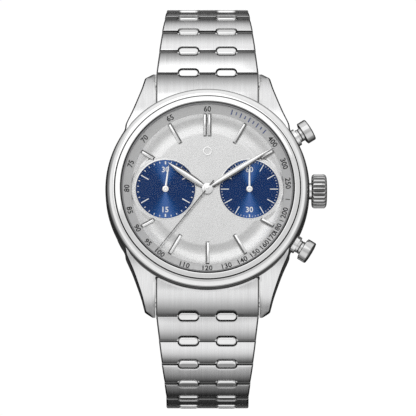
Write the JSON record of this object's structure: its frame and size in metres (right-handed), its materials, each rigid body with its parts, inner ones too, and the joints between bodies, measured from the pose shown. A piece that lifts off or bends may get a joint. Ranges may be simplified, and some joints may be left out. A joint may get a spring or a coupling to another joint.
{
  "type": "chronograph wristwatch",
  "caption": "Chronograph wristwatch with silver dial, blue counters, crown and pushers, on a tapering steel bracelet of pinned links closed by a folding clasp.",
  "frame": {"origin": "centre of the case back's outer face, on the axis of the central hands", "axes": "+Z out of the dial, +Y towards 12 o'clock, +X towards 3 o'clock and the crown"},
  "size_m": [0.0428, 0.0786, 0.0465],
  "materials": {
    "brushed_steel": "fine lengthwise brushed stainless steel, grain along the bracelet",
    "polished_steel": "mirror polished stainless steel",
    "sapphire": "clear domed sapphire crystal",
    "dial_silver": "fine grained opaline silver dial with blue sunburst counters in polished rims",
    "ring_grey": "satin grey scale ring with printed numbers",
    "gasket_clear": "translucent nylon crystal gasket",
    "gasket_black": "black rubber gasket",
    "movement_brass": "satin gilt brass",
    "movement_rhodium": "rhodium plated brass, striped and grained"
  },
  "bodies": {
    "watch_head": {"mid_case": "polished_steel", "bezel": "polished_steel", "crystal": "sapphire", "crystal_gasket": "gasket_clear", "case_back": "polished_steel", "case_back_glass": "sapphire", "case_back_gasket": "gasket_black", "chapter_ring": "ring_grey", "dial": "dial_silver", "hour_markers": "polished_steel", "movement_ring": "movement_brass", "main_plate": "movement_brass", "bridges": "movement_rhodium", "crown_tube": "polished_steel", "pusher_tubes": "polished_steel", "spring_bars": "brushed_steel", "end_link_12": "brushed_steel", "end_link_6": "brushed_steel"},
    "hour_hand": {"hour_hand": "polished_steel"},
    "minute_hand": {"minute_hand": "polished_steel"},
    "chrono_hand": {"chrono_hand": "polished_steel"},
    "seconds_hand": {"seconds_hand": "polished_steel"},
    "counter_hand": {"counter_hand": "polished_steel"},
    "winding_stem": {"winding_stem": "polished_steel"},
    "crown": {"crown": "polished_steel"},
    "pusher_start": {"pusher_start": "polished_steel"},
    "pusher_reset": {"pusher_reset": "polished_steel"},
    "barrel": {"barrel": "movement_brass"},
    "balance_wheel": {"balance_wheel": "movement_brass"},
    "rotor": {"rotor": "movement_rhodium"},
    "link_12_01": {"link_12_01": "brushed_steel"},
    "link_12_02": {"link_12_02": "brushed_steel"},
    "link_12_03": {"link_12_03": "brushed_steel"},
    "link_12_04": {"link_12_04": "brushed_steel"},
    "link_12_05": {"link_12_05": "brushed_steel"},
    "link_12_06": {"link_12_06": "brushed_steel"},
    "link_12_07": {"link_12_07": "brushed_steel"},
    "link_12_08": {"link_12_08": "brushed_steel"},
    "link_12_09": {"link_12_09": "brushed_steel"},
    "link_12_10": {"link_12_10": "brushed_steel"},
    "link_12_11": {"link_12_11": "brushed_steel"},
    "link_6_01": {"link_6_01": "brushed_steel"},
    "link_6_02": {"link_6_02": "brushed_steel"},
    "link_6_03": {"link_6_03": "brushed_steel"},
    "link_6_04": {"link_6_04": "brushed_steel"},
    "link_6_05": {"link_6_05": "brushed_steel"},
    "link_6_06": {"link_6_06": "brushed_steel"},
    "link_6_07": {"link_6_07": "brushed_steel"},
    "link_6_08": {"link_6_08": "brushed_steel"},
    "link_6_09": {"link_6_09": "brushed_steel"},
    "link_6_10": {"link_6_10": "brushed_steel"},
    "link_6_11": {"link_6_11": "brushed_steel"},
    "clasp_inner_blade": {"clasp_inner_blade": "polished_steel"},
    "clasp_middle_blade": {"clasp_middle_blade": "polished_steel"},
    "clasp_cover": {"clasp_cover": "brushed_steel"},
    "clasp_button_left": {"clasp_button_left": "polished_steel"},
    "clasp_button_right": {"clasp_button_right": "polished_steel"}
  },
  "joints": [
    {"name": "hour_hand_turn", "type": "hinge", "parent": "watch_head", "child": "hour_hand", "pos_m": [0, 0, 0.009], "axis": [0, 0, -1], "continuous": true},
    {"name": "minute_hand_turn", "type": "hinge", "parent": "watch_head", "child": "minute_hand", "pos_m": [0, 0, 0.009], "axis": [0, 0, -1], "continuous": true},
    {"name": "chrono_hand_turn", "type": "hinge", "parent": "watch_head", "child": "chrono_hand", "pos_m": [0, 0, 0.009], "axis": [0, 0, -1], "continuous": true},
    {"name": "seconds_hand_turn", "type": "hinge", "parent": "watch_head", "child": "seconds_hand", "pos_m": [0.0081, 0, 0.009], "axis": [0, 0, -1], "continuous": true},
    {"name": "counter_hand_turn", "type": "hinge", "parent": "watch_head", "child": "counter_hand", "pos_m": [-0.0081, 0, 0.009], "axis": [0, 0, -1], "continuous": true},
    {"name": "crown_pull", "type": "slide", "parent": "watch_head", "child": "winding_stem", "axis": [1, 0, 0], "range_m": [0, 0.0012]},
    {"name": "crown_turn", "type": "hinge", "parent": "winding_stem", "child": "crown", "pos_m": [0.0215, 0, 0.006], "axis": [1, 0, 0], "continuous": true},
    {"name": "pusher_start_press", "type": "slide", "parent": "watch_head", "child": "pusher_start", "axis": [-0.8526, -0.5225, 0], "range_m": [0, 0.0009], "stiffness_N_per_m": 1500, "springref_m": -0.0006},
    {"name": "pusher_reset_press", "type": "slide", "parent": "watch_head", "child": "pusher_reset", "axis": [-0.8526, 0.5225, 0], "range_m": [0, 0.0009], "stiffness_N_per_m": 1500, "springref_m": -0.0006},
    {"name": "barrel_turn", "type": "hinge", "parent": "watch_head", "child": "barrel", "pos_m": [0.0042, 0.0066, 0.005], "axis": [0, 0, 1], "continuous": true},
    {"name": "balance_swing", "type": "hinge", "parent": "watch_head", "child": "balance_wheel", "pos_m": [-0.0062, -0.0056, 0.0055], "axis": [0, 0, 1], "range_deg": [-270, 270], "stiffness_Nm_per_rad": 0.000001},
    {"name": "rotor_turn", "type": "hinge", "parent": "watch_head", "child": "rotor", "pos_m": [0, 0, 0.003], "axis": [0, 0, 1], "continuous": true},
    {"name": "pin_12_01", "type": "hinge", "parent": "watch_head", "child": "link_12_01", "pos_m": [0, 0.02369, 0.00198], "axis": [1, 0, 0], "range_deg": [0, 9]},
    {"name": "pin_12_02", "type": "hinge", "parent": "link_12_01", "child": "link_12_02", "pos_m": [0, 0.02824, 0.00058], "axis": [1, 0, 0], "range_deg": [0, 12]},
    {"name": "pin_12_03", "type": "hinge", "parent": "link_12_02", "child": "link_12_03", "pos_m": [0, 0.03241, -0.00172], "axis": [1, 0, 0], "range_deg": [0, 16.5]},
    {"name": "pin_12_04", "type": "hinge", "parent": "link_12_03", "child": "link_12_04", "pos_m": [0, 0.03574, -0.00512], "axis": [1, 0, 0], "range_deg": [0, 18]},
    {"name": "pin_12_05", "type": "hinge", "parent": "link_12_04", "child": "link_12_05", "pos_m": [0, 0.03787, -0.00938], "axis": [1, 0, 0], "range_deg": [0, 18]},
    {"name": "pin_12_06", "type": "hinge", "parent": "link_12_05", "child": "link_12_06", "pos_m": [0, 0.03857, -0.01409], "axis": [1, 0, 0], "range_deg": [0, 18]},
    {"name": "pin_12_07", "type": "hinge", "parent": "link_12_06", "child": "link_12_07", "pos_m": [0, 0.03778, -0.01878], "axis": [1, 0, 0], "range_deg": [0, 16]},
    {"name": "pin_12_08", "type": "hinge", "parent": "link_12_07", "child": "link_12_08", "pos_m": [0, 0.03573, -0.02308], "axis": [1, 0, 0], "range_deg": [0, 13]},
    {"name": "pin_12_09", "type": "hinge", "parent": "link_12_08", "child": "link_12_09", "pos_m": [0, 0.03277, -0.0268], "axis": [1, 0, 0], "range_deg": [0, 12.5]},
    {"name": "pin_12_10", "type": "hinge", "parent": "link_12_09", "child": "link_12_10", "pos_m": [0, 0.02907, -0.0298], "axis": [1, 0, 0], "range_deg": [0, 13.5]},
    {"name": "pin_12_11", "type": "hinge", "parent": "link_12_10", "child": "link_12_11", "pos_m": [0, 0.02478, -0.03185], "axis": [1, 0, 0], "range_deg": [0, 15.5]},
    {"name": "pin_6_01", "type": "hinge", "parent": "watch_head", "child": "link_6_01", "pos_m": [0, -0.02369, 0.00198], "axis": [-1, 0, 0], "range_deg": [0, 12]},
    {"name": "pin_6_02", "type": "hinge", "parent": "link_6_01", "child": "link_6_02", "pos_m": [0, -0.02816, 0.00035], "axis": [-1, 0, 0], "range_deg": [0, 14]},
    {"name": "pin_6_03", "type": "hinge", "parent": "link_6_02", "child": "link_6_03", "pos_m": [0, -0.03211, -0.00231], "axis": [-1, 0, 0], "range_deg": [0, 15]},
    {"name": "pin_6_04", "type": "hinge", "parent": "link_6_03", "child": "link_6_04", "pos_m": [0, -0.03523, -0.00591], "axis": [-1, 0, 0], "range_deg": [0, 15]},
    {"name": "pin_6_05", "type": "hinge", "parent": "link_6_04", "child": "link_6_05", "pos_m": [0, -0.03732, -0.01019], "axis": [-1, 0, 0], "range_deg": [0, 16]},
    {"name": "pin_6_06", "type": "hinge", "parent": "link_6_05", "child": "link_6_06", "pos_m": [0, -0.03815, -0.01487], "axis": [-1, 0, 0], "range_deg": [0, 16]},
    {"name": "pin_6_07", "type": "hinge", "parent": "link_6_06", "child": "link_6_07", "pos_m": [0, -0.03765, -0.01961], "axis": [-1, 0, 0], "range_deg": [0, 16]},
    {"name": "pin_6_08", "type": "hinge", "parent": "link_6_07", "child": "link_6_08", "pos_m": [0, -0.03586, -0.02402], "axis": [-1, 0, 0], "range_deg": [0, 16]},
    {"name": "pin_6_09", "type": "hinge", "parent": "link_6_08", "child": "link_6_09", "pos_m": [0, -0.03293, -0.02777], "axis": [-1, 0, 0], "range_deg": [0, 16]},
    {"name": "pin_6_10", "type": "hinge", "parent": "link_6_09", "child": "link_6_10", "pos_m": [0, -0.02908, -0.03057], "axis": [-1, 0, 0], "range_deg": [0, 16]},
    {"name": "pin_6_11", "type": "hinge", "parent": "link_6_10", "child": "link_6_11", "pos_m": [0, -0.02461, -0.0322], "axis": [-1, 0, 0], "range_deg": [0, 13]},
    {"name": "clasp_swing", "type": "hinge", "parent": "link_6_11", "child": "clasp_inner_blade", "pos_m": [0, -0.01989, -0.03278], "axis": [-1, 0, 0], "range_deg": [0, 30]},
    {"name": "clasp_blade_fold", "type": "hinge", "parent": "clasp_inner_blade", "child": "clasp_middle_blade", "pos_m": [0, 0.0135, -0.0316], "axis": [1, 0, 0], "range_deg": [0, 140]},
    {"name": "clasp_cover_fold", "type": "hinge", "parent": "clasp_middle_blade", "child": "clasp_cover", "pos_m": [0, -0.0162, -0.0323], "axis": [-1, 0, 0], "range_deg": [0, 140]},
    {"name": "clasp_button_left_press", "type": "slide", "parent": "clasp_cover", "child": "clasp_button_left", "axis": [1, 0, 0], "range_m": [0, 0.0007], "stiffness_N_per_m": 800, "springref_m": -0.0005},
    {"name": "clasp_button_right_press", "type": "slide", "parent": "clasp_cover", "child": "clasp_button_right", "axis": [-1, 0, 0], "range_m": [0, 0.0007], "stiffness_N_per_m": 800, "springref_m": -0.0005}
  ],
  "couplings": [
    {"joint": "hour_hand_turn", "follows": "minute_hand_turn", "ratio": 0.083333},
    {"joint": "seconds_hand_turn", "follows": "minute_hand_turn", "ratio": 60},
    {"joint": "barrel_turn", "follows": "minute_hand_turn", "ratio": -0.125},
    {"joint": "counter_hand_turn", "follows": "chrono_hand_turn", "ratio": 0.033333},
    {"joint": "clasp_cover_fold", "follows": "clasp_blade_fold", "ratio": 1}
  ]
}
